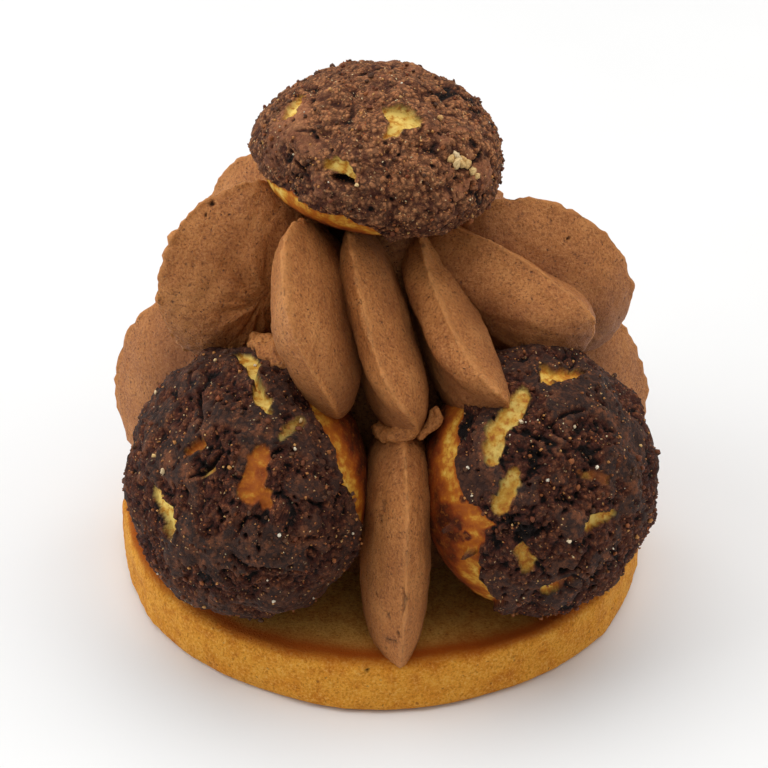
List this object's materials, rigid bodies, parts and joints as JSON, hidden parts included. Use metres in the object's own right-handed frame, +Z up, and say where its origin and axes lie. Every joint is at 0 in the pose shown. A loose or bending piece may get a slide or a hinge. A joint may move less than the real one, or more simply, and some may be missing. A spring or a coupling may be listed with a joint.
{
  "type": "individual chocolate saint-honore cake",
  "caption": "Small round pastry: biscuit disc under side-standing cocoa-crusted choux, piped chocolate cream between and above them, and a chou on top.",
  "frame": {"origin": "centre of the biscuit disc's flat underside, on the surface that the cake stands on", "axes": "+Z up, -Y towards the viewer's front, where one wedge of cream stands between two choux, +X to the right"},
  "size_m": [0.0813, 0.086, 0.0803],
  "materials": {
    "biscuit": "matte",
    "chou": "matte",
    "cream": "satin"
  },
  "bodies": {
    "root": {"biscuit_base": "biscuit", "chou_left": "chou", "chou_right": "chou", "chou_back": "chou", "chou_top": "chou", "cream_core": "cream", "cream_wedge_front": "cream", "cream_wedge_left": "cream", "cream_wedge_right": "cream", "cream_wedge_back_left": "cream", "cream_wedge_back_right": "cream", "cream_petal_01": "cream", "cream_petal_02": "cream", "cream_petal_03": "cream", "cream_petal_04": "cream", "cream_petal_05": "cream", "cream_petal_06": "cream", "cream_petal_07": "cream", "cream_petal_08": "cream", "cream_petal_09": "cream", "cream_petal_10": "cream"}
  },
  "joints": []
}
